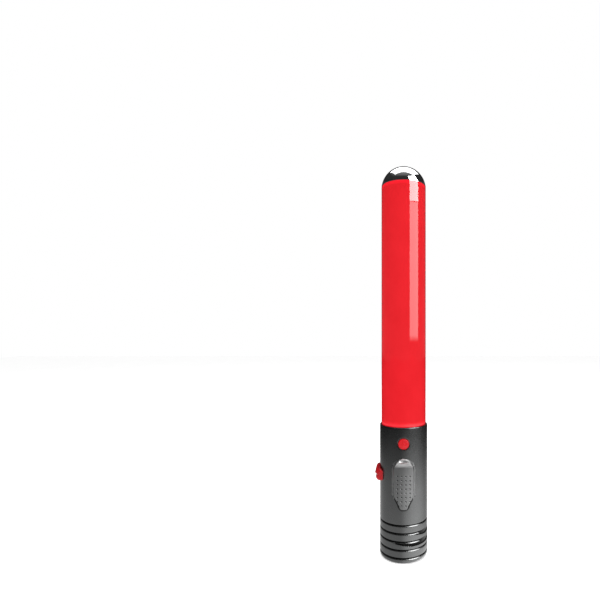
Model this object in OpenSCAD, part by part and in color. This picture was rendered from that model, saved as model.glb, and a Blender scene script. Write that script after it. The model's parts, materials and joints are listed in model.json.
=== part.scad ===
// Reusable road flare: a lit red column on a dark round handle, with a gas burner under a chrome dome.
// Millimetres. The origin is the centre of the base face, +Z runs up the axis, and the button faces -Y.

/* [Handle] */
// Outer radius of the handle
handle_r = 19; // [19:0.5:21]
// Height of the handle from its base to its rim
handle_h = 104; // [104:1:110]
// Wall thickness of the two handle shells
shell_wall = 2; // [1.8:0.1:2]
// Radius of the rounded base edge
base_round = 2.6; // [1.5:0.1:3]

/* [Grip grooves] */
// Number of grooves round the foot of the handle
groove_count = 5; // [4:1:5]
// Distance from one groove to the next
groove_pitch = 6.27; // [6:0.01:6.4]
// Height of the lowest groove
groove_low = 4.4; // [4.2:0.1:4.6]
// Width of a groove
groove_w = 0.9; // [0.7:0.1:1.1]
// Depth of a groove
groove_d = 0.55; // [0.4:0.05:0.7]

/* [Light column] */
// Outer radius of the red light tube
tube_r = 17.8; // [17.6:0.1:18.2]
// Wall thickness of the light tube
tube_wall = 2; // [1.6:0.1:2]
// Height of the top of the light tube above the base
tube_top = 293.5; // [280:0.5:320]
// Height of the chrome dome above the light tube
dome_h = 16.2; // [15.5:0.1:17.5]
// How far the dome's edge stands out past the light tube
dome_lip = 0.05; // [0.02:0.01:0.08]
// Light chips on each of the four strips
chips_per_strip = 14; // [6:1:14]

/* [Controls] */
// Radius of the push button
button_r = 4.07; // [3.6:0.01:4.2]
// Travel of the push button
button_travel = 0.8; // [0.4:0.1:0.8]
// Full width of the thumb slide
slide_w = 18.5; // [16:0.5:19]
// Travel of the thumb slide
slide_travel = 4.5; // [3:0.1:4.5]
// Travel of the side switch
switch_travel = 4; // [2:0.5:4]

/* [Hidden] */
$fn = 96;

over = 1;          // how far a cutter runs past the face it opens
slack = 0.15;      // gap between a moving piece and the surface it passes over
seam = 0.1;        // gap between the two handle shells
fit = 0.05;        // running clearance of a pin or plug, on the radius

// Handle
inner_r = handle_r - shell_wall;
floor_h = 5;
band_crown = 0.2;
lip_r = handle_r - band_crown;
rim_chamfer = 0.5;
groove_high = groove_low + (groove_count - 1) * groove_pitch;
land_w = handle_r * sin(13);
boss_r = 2.6;
boss_x = inner_r - 4.2;
boss_heights = [38, 88];
screw_r = 1.2;
screw_head_r = 2.2;
screw_head_y = 9.2;
screw_head_h = 1.6;
screw_tip_y = -6;
rib_heights = [12, 30];
rib_t = 1.5;

// Base cap
cap_flange_r = 13.5;
cap_plug_r = 11.9;
cap_flange_top = 1.5;
cap_seat = 2.3;
cap_hollow_z = 2.7;
spanner_hole_r = 1.3;
spanner_hole_x = 7.5;
cap_top = 6.5;
seal_wire_r = (cap_seat - cap_flange_top) / 2;

// Fuel, battery and gas line stand on a line behind the axis
tank_r = 9.8;
tank_y = 4;
tank_z = [9, 34];
valve_r = 3.2;
valve_z = [29, 39.6];
valve_bore_r = 1.05;
chamber_r = 2.3;
chamber_z = [30, 38.4];
stem_r = 1;
stem_tip_z = 40.55;
collar_z = [36.9, 37.6];
pivot_y = 0.2;
pivot_z = 42.5;
pivot_r = 1;
arm_t = 1.6;
peg_y = -12.4;
peg_r = 0.9;
fork_gap = 1.05;
fork_out = 1.95;
pipe_r = 1;
pipe_rear_y = 14.6;
pipe_low_z = 36.8;
pipe_high_z = 84;
cell_r = 9.1;
cell_y = 3;
cell_z = [48, 82];

// Boards and controls
board_x = 9.5;
board_y = [-10.8, -9.6];
board_z = [50, handle_h - 7.5];
button_z = handle_h - 12.3;
button_hole_r = button_r + 0.33;
button_flange_r = 5.2;
button_flange_y = [1 - inner_r, 2 - inner_r];
button_face_y = -handle_r - 0.55;
plunger_y = button_flange_y[1] + button_travel + fit;
slide_top = 80.8;
slide_low = 40.8;
slide_base_r = handle_r + slack;
slide_step_r = handle_r + 1.3;
slide_face_r = handle_r + 2.4;
ledge_y = -handle_r - 5.2;
ledge_z = 75.6;
ledge_r = 7.4;
stem_z = [52, 72];
stem_x = 2.7;
carrier_y = [1.4 - inner_r, 2.9 - inner_r];
carrier_z = [41, 76];
spring_stop_z = 85;
switch_z = [58.9, 71.7];
switch_face_x = -handle_r - 3;
switch_mid_z = (switch_z[0] + switch_z[1]) / 2;
switch_foot_y = 10.1;
switch_oval_r = 19.64;
tongue_half = 2;
tongue_y = 3;
port_z = handle_h - 13;
cover_half = [6.2, 8];
cover_seat_r = handle_r - 1;
cover_face_r = handle_r + 1.2;

// Light column and head
bulkhead_z = handle_h - 6.7;
spigot_z = handle_h - 5.5;
spigot_r = inner_r - 0.1;
tube_ir = tube_r - tube_wall;
core_half = 4.5;
core_z = [handle_h - 4, tube_top - 12.5];
strip_t = 1.1;
strip_half = 3.8;
strip_y = -core_half - 0.1;
chip = [3.2, 1.4, 3.2];
lead_x = -6.4;
lead_r = 0.8;
plate_z = [core_z[1], core_z[1] + 1.8];
burner_z = tube_top + 9.6;
dome_base_r = tube_r + dome_lip;
dome_ball_r = (dome_base_r * dome_base_r + dome_h * dome_h) / (2 * dome_h);
dome_ball_z = tube_top + dome_h - dome_ball_r;
dome_wall = 1.2;
port_r = 4.4;
skirt_h = 7.5;
skirt_r = tube_ir - fit;
skirt_wall = 1.2;
seal_z = tube_top - 4.5;

// Colours
gunmetal = "#3a3d3d";
grey = "#8a8d8d";
red = "#e0161e";
light_red = "#f0202a";

// A box from its lowest to its highest corner.
module block(low, high) {
    translate(low) cube(high - low);
}

// A cylinder along +Z from z[0] to z[1], at a point of the plan.
module post(r, z, at = [0, 0]) {
    translate([at[0], at[1], z[0]]) cylinder(r = r, h = z[1] - z[0]);
}

// A cylinder along +Y from y[0] to y[1], at x and z.
module y_rod(r, y, x, z) {
    translate([x, y[0], z]) rotate([-90, 0, 0]) cylinder(r = r, h = y[1] - y[0]);
}

// A cylinder along X, centred on the middle plane, at y and z.
module x_rod(r, half, y, z) {
    translate([-half, y, z]) rotate([0, 90, 0]) cylinder(r = r, h = 2 * half);
}

// A tube round the main axis.
module tube(outer, inner, z) {
    difference() {
        post(outer, z);
        post(inner, [z[0] - over, z[1] + over]);
    }
}

// A flat outline in X and Z, pushed along Y from y[0] to y[1].
module slab_y(y) {
    translate([0, y[1], 0]) rotate([90, 0, 0]) linear_extrude(y[1] - y[0]) children();
}

// A coil spring along +Z: a round wire swept up a helix.
module coil_spring(coil_r, wire_r, length, turns) {
    steps = 14;
    sides = 6;
    rings = turns * steps;
    function point(i, j) =
        let (turn = 360 * i / steps, side = 360 * j / sides, r = coil_r + wire_r * cos(side))
        [r * cos(turn), r * sin(turn), wire_r + (length - 2 * wire_r) * i / rings + wire_r * sin(side)];
    points = [for (i = [0 : rings], j = [0 : sides - 1]) point(i, j)];
    sheath = [for (i = [0 : rings - 1], j = [0 : sides - 1])
        let (k = (j + 1) % sides) [i * sides + j, i * sides + k, (i + 1) * sides + k, (i + 1) * sides + j]];
    start = [for (j = [0 : sides - 1]) sides - 1 - j];
    end = [for (j = [0 : sides - 1]) rings * sides + j];
    polyhedron(points, concat(sheath, [start, end]), convexity = 8);
}

// ---- Handle ----

function groove_height(i) = groove_low + i * groove_pitch;

// One groove: a round-bottomed dip below the bands' edges.
function groove_points(i) =
    [for (k = [0 : 6]) [lip_r - groove_d * sin(30 * k), groove_height(i) + groove_w * (k / 6 - 0.5)]];

// One band between two grooves, crowned in its middle.
function band_points(i) =
    [for (k = [1 : 5]) let (t = k / 6)
        [
            handle_r - band_crown * pow(2 * t - 1, 2),
            groove_height(i) + groove_w / 2 + t * (groove_pitch - groove_w)
        ]];

module handle_outside() {
    foot = [for (k = [0 : 6]) [handle_r - base_round * (1 - sin(15 * k)), base_round * (1 - cos(15 * k))]];
    grip = [for (i = [0 : groove_count - 1])
        each concat(groove_points(i), i < groove_count - 1 ? band_points(i) : [])];
    rim = [
        [handle_r, groove_high + 1.5],
        [handle_r, handle_h - rim_chamfer],
        [handle_r - rim_chamfer, handle_h],
        [0, handle_h]
    ];
    rotate_extrude() polygon(concat([[0, 0]], foot, grip, rim));
}

// The plain strip beside each shell seam, where the grooves stop.
module seam_lands() {
    for (side = [-1, 1])
        intersection() {
            post(handle_r, [base_round, groove_high + 1.5]);
            translate([side * (handle_r - 1), land_w / 2, handle_h / 2])
                cube([3, land_w, handle_h], center = true);
        }
}

// A half-space above a plane that is lowest at one bearing from the front, counted towards +X.
module above_tilted(bearing, low_z, rise) {
    rotate([0, 0, bearing])
        translate([0, -handle_r, low_z])
            rotate([atan(rise / handle_r), 0, 0])
                translate([-40, -10, 0]) cube([80, 80, 30]);
}

// The part of the outer skin between two bearings from the front, as deep as the finger scoops.
module skin_sector(from, to, z) {
    intersection() {
        tube(handle_r + over, lip_r - groove_d - 0.2, z);
        rotate([0, 0, from - 90]) translate([0, 0, z[0]]) cube([30, 30, z[1] - z[0]]);
        rotate([0, 0, to - 180]) translate([0, 0, z[0]]) cube([30, 30, z[1] - z[0]]);
    }
}

// The two finger scoops at the front right, under the third and the fourth groove.
module finger_scoops() {
    third = groove_height(2) - 0.08;
    fourth = groove_height(3) - 0.08;
    difference() {
        intersection() {
            skin_sector(-24, 50, [third - 4, third]);
            above_tilted(12, third - 3.1, 11);
        }
        above_tilted(12, third - 1.7, 11);
    }
    skin_sector(46, 90, [third - 1.8, third - 0.1]);
    intersection() {
        skin_sector(28, 90, [fourth - 3.5, fourth]);
        above_tilted(90, fourth - 3, 4.9);
    }
}

module handle_wall() {
    difference() {
        union() {
            handle_outside();
            seam_lands();
        }
        post(inner_r, [floor_h, handle_h + over]);
        post(cap_plug_r + slack, [-over, floor_h + over]);
        post(cap_flange_r + slack, [-over, cap_seat]);
        finger_scoops();
        switch_window();
    }
}

// The window under the side switch, tall enough for its tongue and its travel.
module switch_window() {
    block([-handle_r - over, -tongue_y - slack, switch_mid_z - tongue_half - switch_travel - 0.2],
          [-inner_r + 2, tongue_y + slack, switch_mid_z + tongue_half + 0.2]);
}

// Shelves inside both shells that hold the fuel tank.
module tank_ribs() {
    for (z = rib_heights)
        difference() {
            post(inner_r + 0.5, [z, z + rib_t]);
            post(tank_r + slack, [z - over, z + rib_t + over], [0, tank_y]);
        }
}

// One half of what it is given: side -1 keeps the front, +1 the rear.
module half(side) {
    intersection() {
        children();
        translate([0, side * (50 + seam / 2), handle_h / 2]) cube([100, 100, handle_h + 20], center = true);
    }
}

module each_boss() {
    for (x = [-boss_x, boss_x], z = boss_heights) translate([x, 0, z]) children();
}

module handle_front_shell() {
    color(gunmetal)
        difference() {
            union() {
                half(-1) handle_wall();
                half(-1) tank_ribs();
                each_boss() y_rod(boss_r, [-boss_x + 1.5, -seam / 2], 0, 0);
                spring_stop();
                board_shelves();
            }
            each_boss() y_rod(screw_r + 0.02, [screw_tip_y - 0.5, over], 0, 0);
            y_rod(button_hole_r, [-handle_r - over, -inner_r + 2], 0, button_z);
            block([-stem_x - 0.25, -handle_r - over, stem_z[0] - 0.4],
                  [stem_x + 0.25, -inner_r + 2, stem_z[1] + slide_travel + 0.5]);
        }
}

// Two small shelves that the main board stands on.
module board_shelves() {
    for (x = [-8, 8])
        block([x - 1.4, -inner_r + 1.5, board_z[0] - 1.4], [x + 1.4, board_y[1] + 0.4, board_z[0] - 0.1]);
}

// The small shelf that the thumb slide's spring pushes against.
module spring_stop() {
    block([-3.5, -inner_r - 0.5, spring_stop_z], [3.5, carrier_y[1] + 0.4, spring_stop_z + 1.2]);
}

module handle_rear_shell() {
    color(gunmetal)
        difference() {
            union() {
                half(1) handle_wall();
                half(1) tank_ribs();
                each_boss() y_rod(boss_r, [seam / 2, boss_x - 1.5], 0, 0);
                for (z = [switch_mid_z - 11.3, switch_mid_z + 9.3])
                    block([-inner_r - 0.5, seam / 2, z], [-10.4, 3.9, z + 2]);
            }
            each_boss() {
                y_rod(screw_r + 0.1, [-over, handle_r], 0, 0);
                y_rod(screw_head_r + 0.2, [screw_head_y, handle_r], 0, 0);
            }
            cover_seat();
            block([-4.9, inner_r - 3, port_z - 2], [4.9, handle_r, port_z + 2]);
            block([-3.1, inner_r - 2, port_z - 10.5], [3.1, handle_r + over, port_z - cover_half[1] - 0.2]);
        }
}

// The shallow seat of the charge port cover.
module cover_seat() {
    intersection() {
        tube(handle_r + 3, cover_seat_r, [port_z - cover_half[1] - 0.2, port_z + cover_half[1] + 0.2]);
        block([-cover_half[0] - 0.2, 0, 0], [cover_half[0] + 0.2, 30, handle_h]);
    }
}

module shell_screws() {
    color("silver")
        each_boss()
            difference() {
                union() {
                    y_rod(screw_r, [screw_tip_y, screw_head_y + 0.2], 0, 0);
                    y_rod(screw_head_r, [screw_head_y, screw_head_y + screw_head_h], 0, 0);
                }
                for (turn = [0, 90])
                    translate([0, screw_head_y + screw_head_h, 0]) rotate([0, turn, 0])
                        cube([2.6, 1.4, 0.6], center = true);
            }
}

// ---- Base ----

// The cap sits flush with the base face and has two holes for a pin spanner.
module base_cap() {
    color(gunmetal)
        difference() {
            union() {
                post(cap_flange_r, [0, cap_flange_top]);
                post(cap_plug_r, [0, cap_top]);
            }
            post(cap_plug_r - 2.1, [cap_hollow_z, cap_top + over]);
            for (x = [-spanner_hole_x, spanner_hole_x]) post(spanner_hole_r, [-over, 1.2], [x, 0]);
        }
}

module base_seal() {
    color("black")
        translate([0, 0, cap_flange_top + seal_wire_r])
            rotate_extrude() translate([(cap_plug_r + cap_flange_r) / 2, 0]) circle(r = seal_wire_r);
}

// ---- Fuel and valve ----

module fuel_tank() {
    color("#d8d4c6")
        difference() {
            post(tank_r, tank_z, [0, tank_y]);
            post(valve_r + fit, [valve_z[0] - 0.2, tank_z[1] + over], [0, tank_y]);
            post(3 + fit, [tank_z[0] - over, tank_z[0] + 3.2], [0, tank_y]);
        }
}

module fill_valve() {
    color("goldenrod")
        difference() {
            union() {
                post(3, [tank_z[0] - 2.8, tank_z[0] + 3], [0, tank_y]);
                post(1.6, [tank_z[0] - 4.6, tank_z[0] - 2.8], [0, tank_y]);
            }
            post(0.5, [tank_z[0] - 5.6, tank_z[0] - 1], [0, tank_y]);
        }
}

module outlet_valve_body() {
    color("goldenrod")
        difference() {
            union() {
                post(valve_r, valve_z, [0, tank_y]);
                y_rod(1.7, [tank_y, tank_y + 4.6], 0, pipe_low_z);
            }
            post(chamber_r, chamber_z, [0, tank_y]);
            post(valve_bore_r, [chamber_z[1] - over, valve_z[1] + over], [0, tank_y]);
            y_rod(pipe_r + 0.02, [tank_y + valve_r, tank_y + 6], 0, pipe_low_z);
        }
}

module valve_stem() {
    color("silver") {
        post(stem_r, [collar_z[0], stem_tip_z], [0, tank_y]);
        post(2, collar_z, [0, tank_y]);
        translate([0, tank_y, stem_tip_z]) sphere(r = stem_r);
    }
}

module valve_spring() {
    color("silver")
        translate([0, tank_y, chamber_z[0] + 0.05])
            coil_spring(1.6, 0.25, collar_z[0] - chamber_z[0] - 0.1, 5);
}

module lever_bracket() {
    color("silver")
        difference() {
            union() {
                block([-6, -4.5, tank_z[1]], [6, 9, tank_z[1] + 1]);
                for (x = [-4.05, 4.05])
                    block([x - 0.65, pivot_y - 2.4, tank_z[1]], [x + 0.65, pivot_y + 2.4, pivot_z + 2.4]);
            }
            post(valve_r + 0.1, [tank_z[1] - over, tank_z[1] + 2], [0, tank_y]);
            x_rod(pivot_r + 0.02, 6, pivot_y, pivot_z);
        }
}

module lever_pin() {
    color("silver") x_rod(pivot_r, 5.2, pivot_y, pivot_z);
}

module valve_lever() {
    arm_end = peg_y + 2.7;
    color("silver")
        difference() {
            union() {
                x_rod(2.2, 3.1, pivot_y, pivot_z);
                block([-1.8, arm_end, pivot_z - arm_t / 2], [1.8, tank_y + 1.2, pivot_z + arm_t / 2]);
                block([-1.8, peg_y - 1.3, pivot_z - fork_out], [1.8, arm_end, pivot_z + fork_out]);
            }
            block([-3, peg_y - 3, pivot_z - fork_gap], [3, peg_y + 1.5, pivot_z + fork_gap]);
            x_rod(pivot_r + fit, 6, pivot_y, pivot_z);
        }
}

module gas_pipe() {
    color("peru") {
        y_rod(pipe_r, [tank_y + valve_r + 0.1, pipe_rear_y], 0, pipe_low_z);
        translate([0, pipe_rear_y, pipe_low_z]) sphere(r = pipe_r);
        post(pipe_r, [pipe_low_z, pipe_high_z], [0, pipe_rear_y]);
        translate([0, pipe_rear_y, pipe_high_z]) sphere(r = pipe_r);
        y_rod(pipe_r, [0, pipe_rear_y], 0, pipe_high_z);
        translate([0, 0, pipe_high_z]) sphere(r = pipe_r);
        post(pipe_r, [pipe_high_z, plate_z[1]]);
    }
}

// ---- Power ----

module battery_cell() {
    color("#2f6fb5") post(cell_r, cell_z, [0, cell_y]);
}

module battery_cradle() {
    color("#202222")
        difference() {
            union() {
                intersection() {
                    post(inner_r - 0.3, [cell_z[0] - 1.8, cell_z[1] - 2]);
                    block([-9.8, 5, 0], [9.8, inner_r, handle_h]);
                }
                intersection() {
                    post(cell_r, [cell_z[0] - 1.8, cell_z[0] - 0.4], [0, cell_y]);
                    block([-9, -4, 0], [9, 14, handle_h]);
                }
            }
            post(cell_r + 0.2, [cell_z[0] - 0.4, cell_z[1]], [0, cell_y]);
            post(pipe_r + 0.3, [0, handle_h], [0, pipe_rear_y]);
            block([-pipe_r - 0.3, pipe_rear_y, 0], [pipe_r + 0.3, inner_r, handle_h]);
        }
}

module battery_contacts() {
    color("silver") {
        post(4, [cell_z[0] - 0.35, cell_z[0]], [0, cell_y]);
        post(3, [cell_z[1], cell_z[1] + 0.35], [0, cell_y]);
    }
}

// ---- Boards and controls ----

module main_board() {
    color("#1c6b3a") block([-board_x, board_y[0], board_z[0]], [board_x, board_y[1], board_z[1]]);
}

module board_parts() {
    chips = [
        [0, 62, 5, 5, 1], [-6, 72, 3, 6, 1.8], [5.5, 74, 5, 5, 2],
        [6, 56, 3, 2, 1], [-6, 56, 4, 3, 1.2], [0, 80, 6, 3, 1.4]
    ];
    color("#181818")
        for (c = chips)
            block([c[0] - c[2] / 2, board_y[1], c[1] - c[3] / 2],
                  [c[0] + c[2] / 2, board_y[1] + c[4], c[1] + c[3] / 2]);
}

module tact_switch() {
    color("#303030") {
        block([-3, board_y[0] - 2.2, button_z - 3], [3, board_y[0], button_z + 3]);
        y_rod(1.6, [plunger_y, board_y[0] - 2], 0, button_z);
    }
}

module push_button() {
    crown = 0.35;
    crown_ball = (button_r * button_r + crown * crown) / (2 * crown);
    color(red) {
        intersection() {
            y_rod(button_r, [button_face_y - crown, button_flange_y[0] + 0.2], 0, button_z);
            translate([0, button_face_y - crown + crown_ball, button_z]) sphere(r = crown_ball);
        }
        y_rod(button_flange_r, button_flange_y, 0, button_z);
    }
}

// The thumb slide's outline in X and Z: round at the top, narrowing to a round tongue below.
module slide_outline(inset) {
    half_w = slide_w / 2;
    tip_r = 5 - inset;
    translate([0, slide_top - half_w]) circle(r = half_w - inset);
    translate([-half_w + inset, slide_low + 12])
        square([2 * (half_w - inset), slide_top - half_w - slide_low - 12]);
    translate([0, slide_low + 5]) circle(r = tip_r);
    polygon([
        [-half_w + inset, slide_low + 12], [-tip_r, slide_low + 5],
        [tip_r, slide_low + 5], [half_w - inset, slide_low + 12]
    ]);
}

// The part of a tube round the main axis that lies under an outline, at the front.
module curved_pad(outer, inner, inset) {
    intersection() {
        tube(outer, inner, [slide_low - over, slide_top + over]);
        slab_y([-outer - over, -12]) slide_outline(inset);
    }
}

module slide_ledge() {
    intersection() {
        y_rod(ledge_r, [ledge_y - over, -15], 0, slide_top - ledge_r);
        rotate([90, 0, 90]) linear_extrude(slide_w, center = true)
            polygon([
                [-slide_base_r - 0.6, slide_top], [-slide_base_r, slide_top],
                [-slide_base_r, ledge_z - 1], [-slide_face_r + 0.5, ledge_z - 1],
                [ledge_y, ledge_z], [ledge_y, ledge_z + 0.8]
            ]);
        tube(30, slide_base_r, [ledge_z - 2, slide_top + over]);
    }
}

module slide_screw_places() {
    for (z = [stem_z[0] + 4, stem_z[1] - 4]) translate([0, 0, z]) children();
}

module thumb_slide() {
    rows = 8;
    row_pitch = 3.19;
    first_row = slide_low + 4.7;
    column_step = 8.5;
    color(grey)
        difference() {
            union() {
                curved_pad(slide_step_r, slide_base_r, 0);
                curved_pad(slide_face_r, slide_step_r - 0.1, 1.6);
                slide_ledge();
            }
            slide_screw_places() y_rod(0.87, [-slide_base_r - 1.4, -15], 0, 0);
            for (column = [0 : 3], row = [0 : rows - 1])
                rotate([0, 0, (column - 1.5) * column_step])
                    y_rod(0.55, [-slide_face_r - over, 0.35 - slide_face_r], 0, first_row + row * row_pitch);
        }
}

module slide_carrier() {
    color("#505050")
        difference() {
            union() {
                block([-5.5, carrier_y[0], carrier_z[0]], [5.5, carrier_y[1], carrier_z[1]]);
                block([-stem_x, 0.15 - handle_r, stem_z[0]], [stem_x, carrier_y[0] + 0.2, stem_z[1]]);
                for (x = [-3.45, 3.45])
                    block([x - 0.75, carrier_y[1] - 0.2, pivot_z - 1.5],
                          [x + 0.75, peg_y + 1.1, pivot_z + 1.7]);
                x_rod(peg_r, 4.2, peg_y, pivot_z);
            }
            slide_screw_places() y_rod(0.9, [-handle_r - over, 0], 0, 0);
        }
}

module slide_screws() {
    color("silver")
        slide_screw_places() {
            y_rod(0.85, [-slide_base_r - 1.2, carrier_y[1] + 0.2], 0, 0);
            y_rod(1.6, [carrier_y[1], carrier_y[1] + 0.9], 0, 0);
        }
}

module slide_spring() {
    color("silver")
        translate([0, (carrier_y[0] + carrier_y[1]) / 2, carrier_z[1] + 0.05])
            coil_spring(1.3, 0.22, spring_stop_z - carrier_z[1] - 0.1, 6);
}

// The tongue that reaches through the handle's window to the switch body.
module switch_tongue() {
    block([-slide_base_r - 0.5, -tongue_y, switch_mid_z - tongue_half],
          [-14.5, tongue_y, switch_mid_z + tongue_half]);
}

// The side switch: an oval block, hollowed to the handle, with a lip and a groove across its face.
module side_switch() {
    lip_r = 0.8;
    lip_z = switch_mid_z + 1.05;
    groove_r = 1.2;
    color(red)
        difference() {
            union() {
                switch_block();
                y_rod(lip_r, [-7.4, 7.4], switch_face_x + 0.05, lip_z);
                switch_tongue();
            }
            difference() {
                post(slide_base_r, [switch_z[0] - over, switch_z[1] + over]);
                switch_tongue();
            }
            groove_y = switch_foot_y + over;
            y_rod(groove_r, [-groove_y, groove_y], switch_face_x - 0.5, switch_mid_z - 0.2);
            switch_pockets();
        }
}

// Oval from the side, with round edges above and below and a narrower face than foot.
module switch_block() {
    edge_r = 3;
    face_y = 8.5;
    intersection() {
        translate([0, 0, switch_z[0]]) linear_extrude(switch_z[1] - switch_z[0])
            polygon([
                [-14, -switch_foot_y], [-16, -switch_foot_y], [switch_face_x, -face_y],
                [switch_face_x, face_y], [-16, switch_foot_y], [-14, switch_foot_y]
            ]);
        slab_y([-switch_foot_y, switch_foot_y]) {
            translate([switch_face_x + edge_r, switch_z[1] - edge_r]) circle(r = edge_r);
            translate([switch_face_x + edge_r, switch_z[0] + edge_r]) circle(r = edge_r);
            translate([switch_face_x, switch_z[0] + edge_r])
                square([12, switch_z[1] - switch_z[0] - 2 * edge_r]);
            translate([switch_face_x + edge_r, switch_z[0]]) square([9, switch_z[1] - switch_z[0]]);
        }
        x_rod(switch_oval_r, 30, 0, switch_z[1] - switch_oval_r);
        x_rod(switch_oval_r, 30, 0, switch_z[0] + switch_oval_r);
    }
}

// Hollows behind the upper edge at both ends, so that the edge stands up as a rim.
module switch_pockets() {
    depth = 1.2;
    rim_x = -19.9;
    for (side = [-1, 1])
        difference() {
            block([rim_x, min(side * 3.2, side * 11), switch_mid_z],
                  [-14 + over, max(side * 3.2, side * 11), switch_z[1] + over]);
            x_rod(switch_oval_r, 30, 0, switch_z[1] - switch_oval_r - depth);
        }
}

module side_switch_body() {
    color("silver") block([-14.3, -4, switch_mid_z - 9.2], [-10.5, 3.9, switch_mid_z + 9.2]);
}

// The cover's outline in X and Z.
module cover_outline() {
    corner = 3;
    for (x = [-1, 1], z = [-1, 1])
        translate([x * (cover_half[0] - corner), port_z + z * (cover_half[1] - corner)]) circle(r = corner);
    translate([-cover_half[0] + corner, port_z - cover_half[1]])
        square([2 * (cover_half[0] - corner), 2 * cover_half[1]]);
    translate([-cover_half[0], port_z - cover_half[1] + corner])
        square([2 * cover_half[0], 2 * (cover_half[1] - corner)]);
}

module port_cover() {
    color(red)
        intersection() {
            tube(cover_face_r, cover_seat_r + slack, [port_z - 10, port_z + 10]);
            slab_y([12, 24]) cover_outline();
        }
}

module cover_neck() {
    color(red)
        block([-3, inner_r - 0.6, port_z - 10.4], [3, handle_r - 0.05, port_z - cover_half[1] - 0.35]);
}

module charge_board() {
    color("#1c6b3a") block([-7, 3.5, port_z - 2.9], [7, inner_r - 1.6, port_z - 1.7]);
}

module charge_socket() {
    color("silver")
        difference() {
            block([-4.5, 10.4, port_z - 1.6], [4.5, 17.2, port_z + 1.6]);
            block([-4.1, 11, port_z - 1.2], [4.1, 18, port_z + 1.2]);
        }
}

module igniter() {
    color("#262a2e") block([-9.6, -8.8, button_z - 6], [-2.6, -0.8, button_z + 4.6]);
}

// ---- Light column ----

module tube_bulkhead() {
    color("#202222")
        difference() {
            union() {
                post(spigot_r, [bulkhead_z, spigot_z - 0.1]);
                post(tube_ir - 0.1, [bulkhead_z, core_z[0] + 2.4]);
            }
            translate([0, 0, core_z[0] + 5])
                cube([2 * core_half + 0.1, 2 * core_half + 0.1, 10], center = true);
            post(pipe_r + 0.1, [0, tube_top]);
            post(lead_r + 0.15, [0, tube_top], [lead_x, lead_x]);
            for (x = [-1.5, 1.5]) post(0.6, [0, tube_top], [x, -6.2]);
        }
}

module light_tube() {
    color(light_red)
        difference() {
            union() {
                post(tube_r, [handle_h, tube_top]);
                post(spigot_r, [spigot_z, handle_h + 0.5]);
            }
            post(tube_ir, [0, tube_top + over]);
        }
}

module led_core() {
    color("silver")
        difference() {
            block([-core_half, -core_half, core_z[0]], [core_half, core_half, core_z[1]]);
            post(2.6, [core_z[0] - over, core_z[1] + over]);
        }
}

module led_strip(turn) {
    color("#e8ece8")
        rotate([0, 0, turn])
            block([-strip_half, strip_y - strip_t, core_z[0] + 6], [strip_half, strip_y, core_z[1] - 3]);
}

module led_chips(turn) {
    step = (core_z[1] - core_z[0] - 25) / (chips_per_strip - 1);
    color("#fff4c8")
        rotate([0, 0, turn])
            for (i = [0 : chips_per_strip - 1])
                translate([0, strip_y - strip_t - chip[1] / 2, core_z[0] + 14 + i * step])
                    cube(chip, center = true);
}

module led_leads() {
    color("#b01818")
        for (x = [-1.5, 1.5]) {
            post(0.45, [button_z - 1, handle_h + 3], [x, -6.2]);
            translate([x, -6.2, button_z - 1]) sphere(r = 0.45);
            y_rod(0.45, [board_y[1], -6.2], x, button_z - 1);
        }
}

module ignition_lead() {
    color("#c82020") post(lead_r, [button_z + 4.6, plate_z[1]], [lead_x, lead_x]);
}

// ---- Head ----

module head_plate() {
    color("silver")
        difference() {
            post(tube_ir - 0.2, plate_z);
            post(pipe_r + 0.1, [0, tube_top]);
            post(lead_r + 0.15, [0, tube_top], [lead_x, lead_x]);
        }
}

module gas_jet() {
    color("goldenrod")
        difference() {
            union() {
                post(3.4, [plate_z[1], plate_z[1] + 2.2]);
                post(2.2, [plate_z[1], plate_z[1] + 5]);
            }
            post(0.35, [plate_z[1] - over, plate_z[1] + 6]);
        }
}

module burner_tube() {
    color("goldenrod")
        difference() {
            post(3.4, [plate_z[1] + 2.3, burner_z]);
            post(2.3, [plate_z[1], burner_z + over]);
            for (turn = [0, 90]) rotate([0, 0, turn]) x_rod(0.9, 5, 0, plate_z[1] + 7);
        }
}

module flame_nozzle() {
    nozzle_top = tube_top + dome_h - 0.1;
    color("goldenrod")
        difference() {
            union() {
                post(5.2, [burner_z + 0.1, burner_z + 1.3]);
                post(port_r - 0.2, [burner_z + 0.1, nozzle_top]);
            }
            post(2.3, [burner_z - over, nozzle_top + over]);
            post(3.2, [nozzle_top - 2.2, nozzle_top + over]);
        }
}

module electrode_insulator() {
    color("white")
        difference() {
            post(1.7, [plate_z[1], burner_z - 4], [lead_x, lead_x]);
            post(0.6, [plate_z[1] + 3, burner_z], [lead_x, lead_x]);
        }
}

module spark_electrode() {
    tip_z = burner_z + 0.6;
    reach = 2.9;
    color("silver") {
        post(0.55, [plate_z[1] + 3, tip_z], [lead_x, lead_x]);
        translate([lead_x, lead_x, tip_z]) sphere(r = 0.55);
        translate([lead_x, lead_x, tip_z]) rotate([0, 90, 45]) cylinder(r = 0.55, h = reach);
    }
}

module dome_cap() {
    color("gainsboro")
        difference() {
            union() {
                difference() {
                    intersection() {
                        translate([0, 0, dome_ball_z]) sphere(r = dome_ball_r);
                        post(30, [tube_top, tube_top + 30]);
                    }
                    translate([0, 0, dome_ball_z]) sphere(r = dome_ball_r - dome_wall);
                }
                tube(dome_base_r - 0.2, skirt_r - skirt_wall, [tube_top, tube_top + 1]);
                tube(skirt_r, skirt_r - skirt_wall, [tube_top - skirt_h, tube_top + 0.5]);
            }
            tube(skirt_r + over, skirt_r - 0.8, [seal_z - 0.6, seal_z + 0.6]);
            post(port_r, [tube_top + 5, tube_top + 30]);
        }
}

module dome_seal() {
    color("black")
        translate([0, 0, seal_z]) rotate_extrude() translate([skirt_r - 0.38, 0]) circle(r = 0.4);
}

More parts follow.
